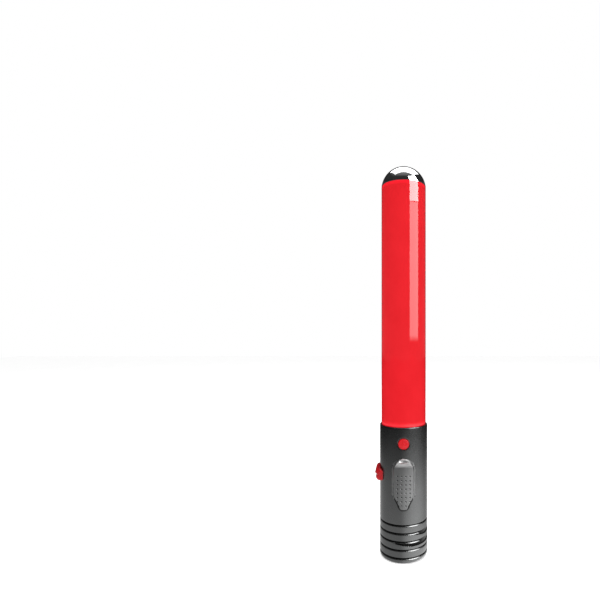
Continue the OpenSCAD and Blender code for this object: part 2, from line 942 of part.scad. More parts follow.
handle_front_shell();
handle_rear_shell();
shell_screws();
base_cap();
base_seal();
fuel_tank();
fill_valve();
outlet_valve_body();
valve_stem();
valve_spring();
lever_bracket();
lever_pin();
valve_lever();
gas_pipe();
battery_cell();
battery_cradle();
battery_contacts();
main_board();
board_parts();
tact_switch();
push_button();
thumb_slide();
slide_carrier();
slide_screws();
slide_spring();
side_switch();
side_switch_body();
port_cover();
cover_neck();
charge_board();
charge_socket();
igniter();
ignition_lead();
electrode_insulator();
spark_electrode();
tube_bulkhead();
light_tube();
led_core();
led_leads();
led_strip(0);  // led_strip_front
led_strip(90);  // led_strip_right
led_strip(180);  // led_strip_rear
led_strip(270);  // led_strip_left
led_chips(0);  // led_chips_front
led_chips(90);  // led_chips_right
led_chips(180);  // led_chips_rear
led_chips(270);  // led_chips_left
head_plate();
gas_jet();
burner_tube();
flame_nozzle();
dome_cap();
dome_seal();
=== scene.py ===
"""Looks of the reusable road flare: detailed outer pieces, procedural materials and a plain light tent.

Metres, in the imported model's frame: the base is at z = 0, +Z runs up the axis and the button faces -Y.
"""

import json
import math

import bmesh
import bpy
from mathutils import Matrix, Vector

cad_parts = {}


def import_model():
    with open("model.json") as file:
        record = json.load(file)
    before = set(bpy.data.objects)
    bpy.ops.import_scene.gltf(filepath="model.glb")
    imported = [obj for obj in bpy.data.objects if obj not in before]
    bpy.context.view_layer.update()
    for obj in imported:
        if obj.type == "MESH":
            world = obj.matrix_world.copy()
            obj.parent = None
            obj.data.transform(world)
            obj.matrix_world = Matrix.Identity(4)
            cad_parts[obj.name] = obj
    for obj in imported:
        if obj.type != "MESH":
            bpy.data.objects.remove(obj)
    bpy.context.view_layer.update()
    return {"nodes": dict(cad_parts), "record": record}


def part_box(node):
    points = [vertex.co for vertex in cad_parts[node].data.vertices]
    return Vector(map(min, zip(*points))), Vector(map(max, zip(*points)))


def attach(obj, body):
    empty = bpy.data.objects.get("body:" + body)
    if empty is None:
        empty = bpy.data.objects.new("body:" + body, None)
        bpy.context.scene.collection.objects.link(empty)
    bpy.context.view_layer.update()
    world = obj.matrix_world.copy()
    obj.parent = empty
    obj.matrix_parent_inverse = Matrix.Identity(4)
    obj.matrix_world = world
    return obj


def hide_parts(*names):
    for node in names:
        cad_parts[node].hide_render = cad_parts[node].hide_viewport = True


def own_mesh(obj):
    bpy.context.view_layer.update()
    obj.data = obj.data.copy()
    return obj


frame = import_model()

MM = 0.001
TURN = 2 * math.pi

# Sizes that the CAD nodes give, from the low and high corners of their boxes.
handle_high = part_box("handle_front_shell")[1]
tube_low, tube_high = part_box("light_tube")
slide_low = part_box("thumb_slide")[0]
switch_low, switch_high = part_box("side_switch")
button_low, button_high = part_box("push_button")
cover_low, cover_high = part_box("port_cover")
nozzle_low, nozzle_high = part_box("flame_nozzle")
dome_low, dome_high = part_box("dome_cap")
cap_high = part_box("base_cap")[1]

handle_r = handle_high.x
handle_h = handle_high.z
wall = 2 * MM
inner_r = handle_r - wall


# ---- Mesh helpers ----

def smoothstep(low, high, x):
    """0 below low, 1 above high and a soft rise between them."""
    t = min(max((x - low) / (high - low), 0.0), 1.0)
    return t * t * (3 - 2 * t)


def linspace(start, end, count):
    """Evenly spaced values, with both ends among them."""
    return [start + (end - start) * i / (count - 1) for i in range(count)]


def loose(name, bm):
    """An object made of a bmesh. On its own it is a helper, such as a cutter, and not a piece."""
    bmesh.ops.recalc_face_normals(bm, faces=bm.faces)
    mesh = bpy.data.meshes.new(name)
    bm.to_mesh(mesh)
    bm.free()
    obj = bpy.data.objects.new(name, mesh)
    bpy.context.scene.collection.objects.link(obj)
    return obj


def piece(name, bm, body, cad_node, sharp=35.0):
    """An object that stands for a CAD node and rides on a body."""
    obj = loose(name, bm)
    smooth(obj, sharp)
    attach(obj, body)
    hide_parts(cad_node)
    return obj


def smooth(obj, degrees):
    """Smooth shading, with edges sharper than the angle kept sharp."""
    mesh = obj.data
    mesh.polygons.foreach_set("use_smooth", [True] * len(mesh.polygons))
    mesh.set_sharp_from_angle(angle=math.radians(degrees))


def polar(r, bearing, z):
    """A point at a bearing from the front (-Y), counted towards +X."""
    return Vector((r * math.sin(bearing), -r * math.cos(bearing), z))


def arc(centre, radius, start, end, count):
    """Points (r, z) on an arc, in degrees from +r towards +z."""
    return [
        (centre[0] + radius * math.cos(math.radians(a)), centre[1] + radius * math.sin(math.radians(a)))
        for a in linspace(start, end, count)
    ]


def circle_across_y(r, x, y, z, sides):
    """Points of a circle whose axis lies along Y."""
    angles = [TURN * i / sides for i in range(sides)]
    return [Vector((x + r * math.cos(a), y, z + r * math.sin(a))) for a in angles]


def add_grid(bm, rows, close_rows=False, close_columns=False):
    """Faces between rows of points; every row has the same number of points."""
    verts = [[bm.verts.new(p) for p in row] for row in rows]
    n_rows, n_columns = len(verts), len(verts[0])
    for i in range(n_rows if close_rows else n_rows - 1):
        for j in range(n_columns if close_columns else n_columns - 1):
            a, b = verts[i], verts[(i + 1) % n_rows]
            k = (j + 1) % n_columns
            bm.faces.new((a[j], a[k], b[k], b[j]))
    return verts


def add_loft(bm, rings):
    """A closed body through rings of points, with one face over the first ring and one over the last."""
    verts = add_grid(bm, rings, close_columns=True)
    bm.faces.new(verts[0])
    bm.faces.new(verts[-1])


def add_lathe(bm, profile, sides):
    """A closed outline of (r, z) turned all the way round the main axis."""
    bearings = [TURN * i / sides for i in range(sides)]
    add_grid(bm, [[polar(r, b, z) for r, z in profile] for b in bearings], True, True)


def add_strip(bm, first, second):
    """Faces between two lines of vertices of equal length."""
    for i in range(len(first) - 1):
        bm.faces.new((first[i], first[i + 1], second[i + 1], second[i]))


def add_curved_lid(bm, loop):
    """Triangles over a loop that isn't flat."""
    bmesh.ops.triangulate(bm, faces=[bm.faces.new(loop)])


def weld(bm):
    """Joins points that lie on each other and drops the faces that vanish with them."""
    distance = 1e-7
    bmesh.ops.remove_doubles(bm, verts=bm.verts, dist=distance)
    bmesh.ops.dissolve_degenerate(bm, edges=bm.edges, dist=distance)


def cut(obj, *cutters):
    """Takes cutter objects out of obj, then removes them."""
    bpy.context.view_layer.objects.active = obj
    for cutter in cutters:
        change = obj.modifiers.new("cut", "BOOLEAN")
        change.operation = "DIFFERENCE"
        change.solver = "EXACT"
        change.object = cutter
        bpy.ops.object.modifier_apply(modifier=change.name)
        bpy.data.objects.remove(cutter)


def rod_cutter(name, r, y0, y1, x, z, sides=64):
    """A rod along Y."""
    bm = bmesh.new()
    add_loft(bm, [circle_across_y(r, x, y, z, sides) for y in (y0, y1)])
    return loose(name, bm)


def prism_cutter(name, outline, y0, y1):
    """A prism along Y of an outline of (x, z)."""
    bm = bmesh.new()
    add_loft(bm, [[Vector((x, y, z)) for x, z in outline] for y in (y0, y1)])
    return loose(name, bm)


def rounded_box_outline(half_x, low_z, high_z, r, count=8):
    """A closed outline of (x, z) with round corners."""
    corners = [(half_x - r, high_z - r, 0), (-half_x + r, high_z - r, 90),
               (-half_x + r, low_z + r, 180), (half_x - r, low_z + r, 270)]
    return [p for x, z, a in corners for p in arc((x, z), r, a, a + 90, count)]


# ---- Handle shells ----

GROOVES = [(4.4 + 6.27 * i) * MM for i in range(5)]
GROOVE_PITCH = GROOVES[1] - GROOVES[0]
GROOVE_HALF = 0.62 * MM
GROOVE_DEPTH = 0.62 * MM
# Below each groove the skin starts LIP_DEPTH deep and comes back out over LIP_H.
LIP_H = 0.4 * MM
LIP_DEPTH = 0.26 * MM
# The bands between grooves are lower by BAND_CROWN at their edges than in their middles.
BAND_CROWN = 0.2 * MM
# How far past the first and the last groove the skin takes to come back out.
BAND_END = 1.2 * MM
SCOOP_DEPTH = 0.8 * MM
SCOOP_SOFT = 0.1 * MM
# The plain strip behind each seam, where the grooves stop.
LAND_W = 4.27 * MM
FOOT_R = 2.6 * MM
RIM_R = 0.5 * MM
RIM_CHAMFER = 0.4 * MM
SEAM_HALF = 0.05 * MM
BUTTON_Z = (button_low.z + button_high.z) / 2
BUTTON_HOLE_R = 4.4 * MM
BUTTON_DISH = 0.35 * MM
CAP_GAP_R = cap_high.x + 0.15 * MM
CAP_SEAT_R = cap_high.x - 1.45 * MM
CAP_SEAT_Z = 2.3 * MM
CAP_CHAMFER = 0.25 * MM
FOOT_INSIDE_Z = 5 * MM
# Cutters of the shells' holes lie between these distances from the axis, along Y.
CUT_OUTSIDE = 30 * MM
CUT_INSIDE = 12 * MM
SHELL_SHARP = 38


def scoop(low, high, z):
    """How far (0 to 1) a height lies inside a band of the skin, with soft upper and lower edges."""
    above = smoothstep(low - SCOOP_SOFT, low + SCOOP_SOFT, z)
    return above * (1 - smoothstep(high - SCOOP_SOFT, high + SCOOP_SOFT, z))


def scoop_depth(bearing, z):
    """The finger scoops at the front right, one below the third and one below the fourth groove."""
    deg = math.degrees(bearing)
    if not -28 < deg < 92:
        return 0.0
    right_end = 1 - smoothstep(86, 90, deg)
    # Further right both scoops open into the groove above them.
    apart = 1 - smoothstep(36, 48, deg)
    third, fourth = GROOVES[2], GROOVES[3]
    low = 3.6 - 2.2 * (max(20 - deg, 0) / 46) ** 1.2
    high = 1.35 * smoothstep(-40, -8, deg) * apart
    crescent = smoothstep(-27, -16, deg) * right_end * scoop(third - low * MM, third - high * MM, z)
    low = 1.15 + 2.05 * smoothstep(16, 66, deg)
    wedge = smoothstep(18, 30, deg) * right_end * scoop(fourth - low * MM, fourth - 1.1 * apart * MM, z)
    return SCOOP_DEPTH * max(crescent, wedge)


def groove_dip(z):
    """How deep the grooves, their lips and the bands' edges make the skin at a height."""
    if not GROOVES[0] - BAND_END < z < GROOVES[-1] + BAND_END:
        return 0.0
    nearest = min(GROOVES, key=lambda g: abs(g - z))
    away = abs(z - nearest)
    t = min(away / GROOVE_HALF, 1.0)
    dip = GROOVE_DEPTH * (1 - t * t) ** 0.8
    if z < nearest:
        dip = max(dip, LIP_DEPTH * min((GROOVE_HALF + LIP_H - away) / LIP_H, 1.0))
    if GROOVES[0] <= z <= GROOVES[-1]:
        return dip + BAND_CROWN * (1 - math.sin(math.pi * away / GROOVE_PITCH)) ** 2
    return dip + BAND_CROWN * (1 - smoothstep(0, BAND_END, away))


def skin_r(bearing, z):
    """Radius of the handle's outer skin between its foot and its rim."""
    y = -handle_r * math.cos(bearing)
    land = smoothstep(-0.5 * MM, 0.3 * MM, y) * (1 - smoothstep(LAND_W - 0.3 * MM, LAND_W + 0.5 * MM, y))
    grip = 1 - land
    dip = max(groove_dip(z) * grip, scoop_depth(bearing, z) * grip)
    x = handle_r * math.sin(bearing)
    if y < 0 and abs(z - BUTTON_Z) < 6 * MM and abs(x) < 6 * MM:
        edge = math.hypot(x, z - BUTTON_Z) - BUTTON_HOLE_R
        dip += BUTTON_DISH * (1 - smoothstep(-0.1 * MM, 0.45 * MM, edge))
    return handle_r - dip


def skin_rows():
    """Heights of the skin's rows: close together over the grip and round the button, wider elsewhere."""
    rows = []
    z = FOOT_R
    top = handle_h - RIM_R
    while z < top - 0.2 * MM:
        rows.append(z)
        if abs(z - BUTTON_Z) < 5.6 * MM:
            step = 0.3
        elif min(abs(z - g) for g in GROOVES) < 1.1 * MM:
            step = 0.1
        elif z < GROOVES[-1]:
            step = 0.2
        else:
            step = 1.0
        z += step * MM
    return rows + [top]


def shell_profile(bearing, rows):
    """The closed section of a shell at one bearing, as (r, z)."""
    foot = arc((handle_r - FOOT_R, FOOT_R), FOOT_R, -90, 0, 9)
    skin = [(skin_r(bearing, z), z) for z in rows]
    rim = arc((handle_r - RIM_R, handle_h - RIM_R), RIM_R, 0, 90, 6)
    inside = [
        (inner_r + RIM_CHAMFER, handle_h),
        (inner_r, handle_h - RIM_CHAMFER),
        (inner_r, FOOT_INSIDE_Z),
        (CAP_SEAT_R, FOOT_INSIDE_Z),
        (CAP_SEAT_R, CAP_SEAT_Z),
        (CAP_GAP_R, CAP_SEAT_Z),
        (CAP_GAP_R, CAP_CHAMFER),
        (CAP_GAP_R + CAP_CHAMFER, 0.0),
    ]
    return foot[:-1] + skin + rim[1:] + inside


def half_shell(name, facing, cad_node):
    """One handle shell, from seam to seam; facing is 0 for the front and pi for the rear."""
    gap = SEAM_HALF / handle_r
    rows = skin_rows()
    bearings = linspace(facing - math.pi / 2 + gap, facing + math.pi / 2 - gap, 181)
    sections = [[polar(r, b, z) for r, z in shell_profile(math.remainder(b, TURN), rows)] for b in bearings]
    bm = bmesh.new()
    add_loft(bm, sections)
    return piece(name, bm, "handle", cad_node, sharp=SHELL_SHARP)


def front_shell():
    """The front shell, with the button's hole, the slide's slot and half the switch's window."""
    obj = half_shell("front_shell", 0, "handle_front_shell")
    slot = rounded_box_outline(half_x=2.95 * MM, low_z=51.6 * MM, high_z=77 * MM, r=0.6 * MM)
    cut(
        obj,
        rod_cutter("button_cutter", BUTTON_HOLE_R, -CUT_OUTSIDE, -CUT_INSIDE, 0, BUTTON_Z, 96),
        prism_cutter("slot_cutter", slot, -CUT_OUTSIDE, -CUT_INSIDE),
        switch_window_cutter(),
    )
    smooth(obj, SHELL_SHARP)
    return obj


def switch_window_cutter():
    """A block through the wall under the side switch, across the seam."""
    low, high = SWITCH_MID - 6.2 * MM, SWITCH_MID + 2.2 * MM
    depth, width = 8 * MM, 6.3 * MM
    place = Matrix.Translation((-handle_r, 0, (low + high) / 2))
    size = Matrix.Diagonal((depth, width, high - low, 1))
    bm = bmesh.new()
    bmesh.ops.create_cube(bm, size=1)
    bmesh.ops.transform(bm, matrix=place @ size, verts=bm.verts)
    return loose("window_cutter", bm)


def seat_cutter():
    """A curved block that sinks the port cover's seat 1 mm into the skin."""
    gap = 0.2 * MM
    seat = rounded_box_outline(6.4 * MM, cover_low.z - gap, cover_high.z + gap, 3.2 * MM)
    rows = []
    for radius in (handle_r - 1 * MM, handle_r + 3 * MM):
        rows.append([Vector((x, math.sqrt(radius ** 2 - x * x), z)) for x, z in seat])
    bm = bmesh.new()
    verts = add_grid(bm, rows, close_columns=True)
    add_curved_lid(bm, verts[0])
    add_curved_lid(bm, verts[1])
    return loose("seat_cutter", bm)


def rear_shell():
    """The rear shell, with the port cover's seat, the screw holes and half the switch's window."""
    neck_inside = 15.2 * MM
    screw_inside = 9.2 * MM
    screw_r = 2.4 * MM
    screw_x = 12.8 * MM
    obj = half_shell("rear_shell", math.pi, "handle_rear_shell")
    middle = (cover_low.z + cover_high.z) / 2
    socket = rounded_box_outline(4.9 * MM, middle - 2 * MM, middle + 2 * MM, 1.5 * MM)
    neck = rounded_box_outline(3.1 * MM, middle - 10.5 * MM, cover_low.z, 0.4 * MM)
    cutters = [
        seat_cutter(),
        prism_cutter("socket_cutter", socket, CUT_INSIDE, CUT_OUTSIDE),
        prism_cutter("neck_cutter", neck, neck_inside, CUT_OUTSIDE),
        switch_window_cutter(),
    ]
    for x in (-screw_x, screw_x):
        for z in (38 * MM, 88 * MM):
            cutters.append(rod_cutter("screw_cutter", screw_r, screw_inside, CUT_OUTSIDE, x, z))
    cut(obj, *cutters)
    smooth(obj, SHELL_SHARP)
    return obj


# ---- Light tube ----

TUBE_R = 17.8 * MM
TUBE_WALL = 2 * MM


def light_tube():
    """The column: an open tube with a soft upper edge, and a spigot that sits in the handle."""
    bore = TUBE_R - TUBE_WALL
    spigot_r = inner_r - 0.1 * MM
    low, top = handle_h, tube_high.z
    edge = 0.35 * MM
    profile = (
        [(TUBE_R, z) for z in linspace(low + 0.4 * MM, top - edge, 60)]
        + arc((TUBE_R - edge, top - edge), edge, 0, 90, 5)[1:]
        + [(bore, top), (bore, tube_low.z), (spigot_r, tube_low.z), (spigot_r, low), (TUBE_R - 0.2 * MM, low)]
    )
    bm = bmesh.new()
    add_lathe(bm, profile, 192)
    return piece("tube", bm, "handle", "light_tube")


# ---- Dome and nozzle ----

DOME_WALL = 1.2 * MM


def dome():
    """The chrome dome: a slice of a ball with the nozzle's hole in its top, and a skirt in the column."""
    base_r, base_z = dome_high.x, tube_high.z
    hole_r = 4.4 * MM
    lip_r = 0.3 * MM
    # The ball runs through the base edge and through the apex, which the hole takes away.
    rise = 16.2 * MM
    ball = (base_r ** 2 + rise ** 2) / (2 * rise)
    centre = base_z + rise - ball
    start = math.degrees(math.asin((base_z + 0.35 * MM - centre) / ball))
    end = math.degrees(math.acos((hole_r + lip_r) / ball))
    outside = arc((0, centre), ball, start, end, 64)
    lip = arc((hole_r + lip_r, outside[-1][1] - lip_r), lip_r, 90, 180, 5)[1:]
    inside = arc((0, centre), ball - DOME_WALL, end - 1.5, start + 6, 24)
    bm = bmesh.new()
    add_lathe(bm, outside + lip + inside + dome_skirt(base_r, base_z), 160)
    return piece("chrome_dome", bm, "handle", "dome_cap", sharp=50)


def dome_skirt(base_r, base_z):
    """The dome's lower edge and the skirt that plugs into the column, from inside to outside."""
    outer = 15.75 * MM
    inner = outer - DOME_WALL
    low = dome_low.z
    chamfer = 0.3 * MM
    seal_z = base_z - 4.5 * MM
    seal_half = 0.6 * MM
    seal_r = outer - 0.8 * MM
    edge_z = base_z + 0.02 * MM
    return [
        (inner, base_z + 1 * MM),
        (inner, low + chamfer),
        (inner + chamfer, low),
        (outer - chamfer, low),
        (outer, low + chamfer),
        (outer, seal_z - seal_half),
        (seal_r, seal_z - seal_half),
        (seal_r, seal_z + seal_half),
        (outer, seal_z + seal_half),
        (outer, edge_z),
        (base_r - 0.25 * MM, edge_z),
        (base_r - 0.05 * MM, base_z + 0.12 * MM),
    ]


def nozzle():
    """The brass flame nozzle: a flange, a straight neck and a mouth with soft edges."""
    low, top = nozzle_low.z, nozzle_high.z
    flange_r = 5.2 * MM
    neck_r = 4.2 * MM
    mouth_r = 3.1 * MM
    throat_r = 2.3 * MM
    profile = [
        (throat_r, low),
        (flange_r, low),
        (flange_r, low + 1.1 * MM),
        (neck_r, low + 1.2 * MM),
        (neck_r, top - 0.5 * MM),
        (neck_r - 0.12 * MM, top - 0.2 * MM),
        (neck_r - 0.4 * MM, top),
        (mouth_r + 0.2 * MM, top),
        (mouth_r, top - 0.2 * MM),
        (mouth_r, top - 2 * MM),
        (throat_r, top - 2.6 * MM),
    ]
    bm = bmesh.new()
    add_lathe(bm, profile, 96)
    return piece("nozzle", bm, "handle", "flame_nozzle")


# ---- Push button ----

def push_button():
    """A crowned face with a round shoulder and a shallow ring, on a flange inside the handle."""
    r = 4.07 * MM
    face, back = -button_low.y, -button_high.y
    flange_r = button_high.x
    crown = 0.35 * MM
    shoulder = 0.7 * MM
    step = 2.4 * MM
    # Each pair is a distance from the middle and how deep the shallow ring is there.
    flat = [(d * MM, 0.0) for d in (0.0, 0.6, 1.2, 1.7, 2.2, 2.5)]
    ring = [(2.62 * MM, 0.05 * MM), (2.75 * MM, 0.09 * MM), (2.9 * MM, 0.05 * MM), (3.05 * MM, 0.0)]
    profile = [(d, face - (depth + crown * (d / r) ** 2)) for d, depth in flat + ring]
    profile += arc((r - shoulder, face - 0.22 * MM - shoulder), shoulder, 80, 0, 7)
    profile += [(r, face - step), (flange_r, face - step - 0.02 * MM), (flange_r, back), (0.0, back)]
    bm = bmesh.new()
    add_grid(bm, [circle_across_y(d, 0, -y, BUTTON_Z, 72) for d, y in profile], close_columns=True)
    weld(bm)
    return piece("button", bm, "button", "push_button", sharp=45)


# ---- Thumb slide ----

SLIDE_TOP = 80.8 * MM
SLIDE_TIP = 40.8 * MM
SLIDE_HALF = 9.25 * MM
TONGUE_R = 5 * MM
TAPER_H = 12 * MM
BASE_R = handle_r + 0.15 * MM
FACE_R = handle_r + 2.4 * MM
EDGE_STEP = 0.9 * MM
HEAD_OUT = 0.5 * MM
LEDGE_Z = 75.6 * MM
LEDGE_R = 7.7 * MM
LEDGE_OUT = -slide_low.y
LEDGE_BACK = 0.6 * MM
LEDGE_EDGE = 0.6 * MM
HOLLOW_DEPTH = 0.9 * MM
HOLLOW_STRETCH = 4.6
DOT_R = 0.66 * MM
DOT_DEPTH = 0.6 * MM
DOT_PITCH = 3.19 * MM
DOT_STEP = math.radians(8.5)
DOT_ROWS = 8


def slide_half_width(z):
    """Half the slide's width at a height: a round head, straight sides, a taper and a round tongue."""
    head_z = SLIDE_TOP - SLIDE_HALF
    side_z = SLIDE_TIP + TAPER_H
    tongue_z = SLIDE_TIP + TONGUE_R
    if z >= head_z:
        return math.sqrt(max(SLIDE_HALF ** 2 - (z - head_z) ** 2, 0))
    if z >= side_z:
        return SLIDE_HALF
    taper = TONGUE_R + (SLIDE_HALF - TONGUE_R) * smoothstep(tongue_z - 2.2 * MM, side_z + 1.5 * MM, z)
    if z >= tongue_z:
        return taper
    return min(taper, math.sqrt(max(TONGUE_R ** 2 - (z - tongue_z) ** 2, 0)))


def slide_dots():
    """Places of the dimples, as (bearing, z). Rows count from the top; the outer columns are shorter."""
    lowest = SLIDE_TIP + 4.7 * MM
    dots = []
    for column, (first, count) in enumerate([(2, 4), (0, 7), (0, 8), (0, 8), (0, 7), (2, 4)]):
        bearing = (column - 2.5) * DOT_STEP
        for row in range(first, first + count):
            dots.append((bearing, lowest + (DOT_ROWS - 1 - row) * DOT_PITCH))
    return dots


DOTS = slide_dots()


def pad_r(x, z, inside):
    """Radius of the slide's dimpled face; inside is the distance to the outline."""
    rise = EDGE_STEP * smoothstep(0, 0.35 * MM, inside)
    rise += (FACE_R - BASE_R - EDGE_STEP) * smoothstep(0.9 * MM, 2.0 * MM, inside)
    r = BASE_R + rise
    bearing = math.asin(x / FACE_R)
    for dot_bearing, dot_z in DOTS:
        if abs(z - dot_z) < 1.1 * MM:
            near = math.hypot(FACE_R * (bearing - dot_bearing), z - dot_z)
            r -= DOT_DEPTH * (1 - smoothstep(0.3 * MM, DOT_R, near))
    return r


def ledge_share(x, z):
    """0 outside the ledge's round outline and 1 well inside it, with a round edge between."""
    edge = LEDGE_R - math.hypot(x, z - (SLIDE_TOP - LEDGE_R))
    t = min(max(edge / LEDGE_EDGE, 0), 1)
    return math.sqrt(1 - (1 - t) ** 2) * smoothstep(LEDGE_Z - 0.3 * MM, LEDGE_Z + 0.15 * MM, z)


def ledge_depth(x, z):
    """How far out the ledge's sloping top lies, with its thumb hollow."""
    slope = min((SLIDE_TOP - z) / (SLIDE_TOP - LEDGE_Z - 0.8 * MM), 1)
    out = BASE_R + LEDGE_BACK + (LEDGE_OUT - BASE_R - LEDGE_BACK) * slope
    hollow = math.hypot(x / HOLLOW_STRETCH, z - LEDGE_Z - 3.1 * MM)
    return out - HOLLOW_DEPTH * (1 - smoothstep(0.15 * MM, 0.85 * MM, hollow))


def slide_depth(x, z, inside):
    """How far the slide's front lies from the axis along -Y: the pad below, the ledge on a low head above."""
    r = pad_r(x, z, inside)
    r += (BASE_R + HEAD_OUT - r) * smoothstep(LEDGE_Z - 0.2 * MM, LEDGE_Z + 0.2 * MM, z)
    pad = math.sqrt(r * r - x * x)
    return pad + (ledge_depth(x, z) - pad) * ledge_share(x, z)


def slide_rows():
    """Heights of the slide's rows, from its tip to its top, closest where the shape turns fastest."""
    rows = [SLIDE_TIP + TONGUE_R * (1 - math.cos(math.radians(a))) for a in linspace(6, 84, 27)]
    rows += linspace(rows[-1] + 0.2 * MM, LEDGE_Z - 0.4 * MM, 150)[1:]
    rows += linspace(LEDGE_Z - 0.3 * MM, LEDGE_Z + 0.2 * MM, 8)
    rows += linspace(LEDGE_Z + 0.3 * MM, SLIDE_TOP - 0.3 * MM, 40)
    rows += linspace(SLIDE_TOP - 0.25 * MM, SLIDE_TOP - 0.02 * MM, 8)
    return rows


def slide_columns(count):
    """Places of the slide's columns, from -1 to 1, a little closer together near the sides."""
    places = [2 * j / (count - 1) - 1 for j in range(count)]
    return [math.sin(u * math.pi / 2) * 0.35 + u * 0.65 for u in places]


def thumb_slide():
    """The slide: a dimpled pad and a thumb ledge in front, and a back that follows the handle."""
    columns = slide_columns(141)
    back_every = 10
    front_rows, back_rows = [], []
    for z in slide_rows():
        half = slide_half_width(z)
        end = min(z - SLIDE_TIP, SLIDE_TOP - z)
        xs = [half * u for u in columns]
        front_rows.append([Vector((x, -slide_depth(x, z, min(half - abs(x), end)), z)) for x in xs])
        back_rows.append([Vector((x, -math.sqrt(BASE_R ** 2 - x * x), z)) for x in xs[::back_every]])
    bm = bmesh.new()
    front = add_grid(bm, front_rows)
    back = add_grid(bm, back_rows)
    for side in (0, -1):
        add_strip(bm, [row[side] for row in front], [row[side] for row in back])
    for end in (0, -1):
        bm.faces.new(front[end] + back[end][::-1])
    return piece("slide", bm, "slide", "thumb_slide", sharp=50)


# ---- Side switch ----

SWITCH_MID = (switch_low.z + switch_high.z) / 2
SWITCH_HALF = (switch_high.z - switch_low.z) / 2
SWITCH_FACE = handle_r + 3 * MM
SWITCH_OVAL_R = 19.64 * MM
SWITCH_END = 10.02 * MM
SWITCH_FOOT = 16.25 * MM
SWITCH_EDGE_R = 3 * MM
SWITCH_POCKET = 1.2 * MM


def side_switch():
    """Oval from the side: a block that hugs the handle, swept from its front to its rear end."""
    ys = [SWITCH_END * math.sin(math.radians(a)) for a in linspace(-88, 88, 121)]
    bm = bmesh.new()
    add_loft(bm, [[Vector((-x, y, SWITCH_MID + z)) for x, z in switch_section(y)] for y in ys])
    return piece("switch", bm, "side_switch", "side_switch", sharp=42)


def switch_section(y):
    """The closed section at one y, as (distance from the axis plane, height from the middle)."""
    half = math.sqrt(SWITCH_OVAL_R ** 2 - y * y) - (SWITCH_OVAL_R - SWITCH_HALF)
    inner = math.sqrt(BASE_R ** 2 - y * y)
    along = (abs(y) / SWITCH_END) ** 7
    face = SWITCH_FOOT + (SWITCH_FACE - SWITCH_FOOT) * (1 - along) ** (1 / 4)
    face = max(face, inner + 0.1 * MM)
    corner = min(SWITCH_EDGE_R, 0.9 * (face - inner), 0.8 * half)
    low_arc = arc((face - corner, corner - half), corner, -90, 0, 12)
    front = [(face - switch_relief(y, z), z) for z in linspace(corner - half, half - corner, 52)]
    high_arc = arc((face - corner, half - corner), corner, 0, 72, 12)
    rim = high_arc[-1]
    # Away from its middle, the block is lower behind its upper rim.
    room = smoothstep(0, 2 * MM, face - inner - corner * 0.5)
    pocket = SWITCH_POCKET * smoothstep(3.0 * MM, 3.7 * MM, abs(y)) * room
    back = [
        (rim[0] - 0.12 * MM, rim[1] - 0.4 * pocket),
        (max(rim[0] - 0.25 * MM, inner), rim[1] - pocket),
        (inner, rim[1] - pocket),
    ]
    return [(inner, -half)] + low_arc + front[1:-1] + high_arc + back


def switch_relief(y, z):
    """Depth of the groove across the face, less the rise of the lip above it."""
    groove_half = 1.25 * MM
    t = min(abs(z + 0.35 * MM) / groove_half, 1)
    groove = 0.75 * MM * (1 - t ** 2) ** 0.7
    lip = max(1 - (abs(z - 1.15 * MM) / (0.7 * MM)) ** 2, 0) ** 0.5
    return groove - 0.7 * MM * lip * (1 - smoothstep(6.6 * MM, 7.6 * MM, abs(y)))


# ---- Port cover ----

def port_cover():
    """A soft crowned cover over the charge socket, following the handle's curve."""
    middle = (cover_low.z + cover_high.z) / 2
    inner = handle_r - 0.85 * MM
    outer = cover_high.y
    outline = rounded_box_outline(cover_high.x, cover_low.z, cover_high.z, 3 * MM, 30)
    # Each pair is the outline's size and its radius, from the inner face out to the crown.
    crown = [
        (1.0, inner),
        (1.0, handle_r),
        (0.985, handle_r + 0.25 * MM),
        (0.93, outer - 0.45 * MM),
        (0.85, outer - 0.2 * MM),
        (0.7, outer - 0.1 * MM),
        (0.45, outer - 0.03 * MM),
        (0.2, outer),
    ]
    rings = []
    for size, r in crown:
        places = [(x * size, middle + (z - middle) * size) for x, z in outline]
        rings.append([Vector((x, math.sqrt(r * r - x * x), z)) for x, z in places])
    bm = bmesh.new()
    verts = add_grid(bm, rings, close_columns=True)
    bm.faces.new(verts[-1])
    add_curved_lid(bm, verts[0])
    return piece("charge_cover", bm, "port_cover", "port_cover", sharp=50)


# ---- Springs ----

def coil(node_name, wire_r, turns):
    """A coil spring in its CAD node's box."""
    low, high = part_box(node_name)
    mid = (low + high) / 2
    coil_r = (high.x - low.x) / 2 - wire_r
    length = high.z - low.z - 2 * wire_r
    steps = 32 * turns
    around = [TURN * k / 12 for k in range(12)]
    lean = math.atan2(length / turns, TURN * coil_r)
    rings = []
    for i in range(steps + 1):
        angle = TURN * turns * i / steps
        out = Vector((math.cos(angle), math.sin(angle), 0))
        up = Vector((-out.y, out.x, 0)) * -math.sin(lean) + Vector((0, 0, math.cos(lean)))
        centre = Vector((mid.x, mid.y, low.z + wire_r + length * i / steps)) + out * coil_r
        rings.append([centre + (out * math.cos(a) + up * math.sin(a)) * wire_r for a in around])
    bm = bmesh.new()
    add_loft(bm, rings)
    obj = piece(node_name.replace("spring", "coil"), bm, "handle", node_name, sharp=60)
    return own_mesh(obj)


# ---- Materials ----

def material(name, roughness=0.5, metallic=0.0, **sockets):
    """A Principled material, with its constant values set on the shader's own sockets."""
    mat = bpy.data.materials.new(name)
    mat.use_nodes = True
    shader = mat.node_tree.nodes["Principled BSDF"]
    shader.inputs["Roughness"].default_value = roughness
    shader.inputs["Metallic"].default_value = metallic
    for key, value in sockets.items():
        shader.inputs[key.replace("_", " ")].default_value = value
    return mat, mat.node_tree, shader


